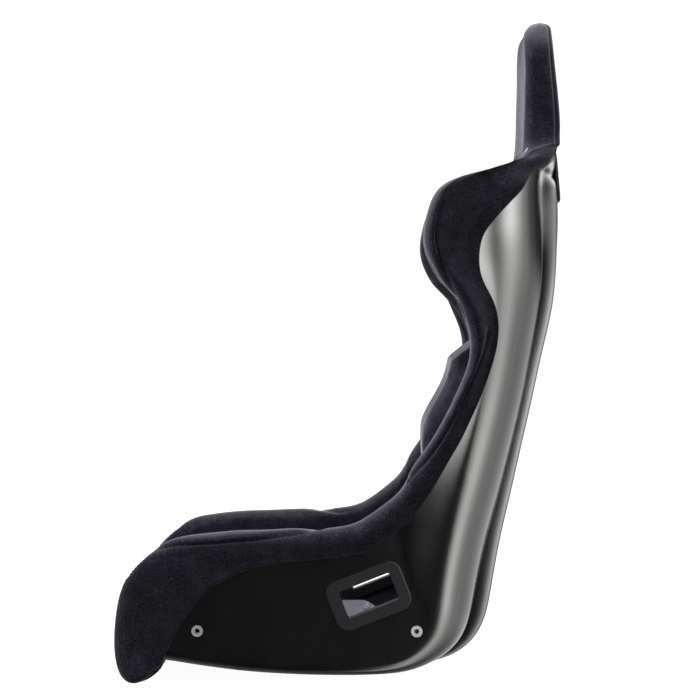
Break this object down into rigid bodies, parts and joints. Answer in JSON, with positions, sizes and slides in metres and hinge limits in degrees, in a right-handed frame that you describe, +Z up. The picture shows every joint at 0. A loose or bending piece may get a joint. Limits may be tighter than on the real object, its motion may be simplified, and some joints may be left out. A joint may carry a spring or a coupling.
{
  "type": "racing seat",
  "caption": "Fixed-back bucket racing seat: black laminate shell, fabric-covered bolsters, headrest, lift-out cushions, harness slots and threaded side mounts.",
  "frame": {"origin": "middle of the bounding box, at the level of its lowest point", "axes": "+Z up, the seat faces -Y, +X is to the occupant's left"},
  "size_m": [0.551, 0.5958, 0.893],
  "materials": {
    "gelcoat": "polished black gel coat over glass laminate",
    "velour": "dark charcoal velour over foam",
    "grommet": "satin black moulded plastic",
    "bright_steel": "zinc-plated steel",
    "plate_steel": "primed steel",
    "hook_loop": "black hook-and-loop tape"
  },
  "bodies": {
    "seat": {"shell": "gelcoat", "front_roll": "velour", "headrest_cover": "velour", "pan_padding": "velour", "back_padding": "velour", "pan_hook_strips": "hook_loop", "back_hook_strips": "hook_loop", "crotch_grommet_lower": "grommet", "crotch_grommet_upper": "grommet", "mount_plate_left": "plate_steel", "mount_insert_front_left": "bright_steel", "mount_insert_rear_left": "bright_steel", "thigh_bolster_left": "velour", "side_bolster_left": "velour", "shoulder_wing_left": "velour", "lap_grommet_outer_left": "grommet", "lap_grommet_inner_left": "grommet", "shoulder_grommet_rear_left": "grommet", "shoulder_grommet_front_left": "grommet", "mount_plate_right": "plate_steel", "mount_insert_front_right": "bright_steel", "mount_insert_rear_right": "bright_steel", "thigh_bolster_right": "velour", "side_bolster_right": "velour", "shoulder_wing_right": "velour", "lap_grommet_outer_right": "grommet", "lap_grommet_inner_right": "grommet", "shoulder_grommet_rear_right": "grommet", "shoulder_grommet_front_right": "grommet"},
    "seat_cushion": {"seat_cushion": "velour", "seat_loop_strips": "hook_loop"},
    "lumbar_cushion": {"lumbar_cushion": "velour", "lumbar_loop_strips": "hook_loop"}
  },
  "joints": [
    {"name": "seat_cushion_lift", "type": "slide", "parent": "seat", "child": "seat_cushion", "axis": [0, 0, 1], "range_m": [0, 0.18]},
    {"name": "lumbar_cushion_pull", "type": "slide", "parent": "seat", "child": "lumbar_cushion", "axis": [0, -0.5, 0.866], "range_m": [0, 0.25]}
  ]
}
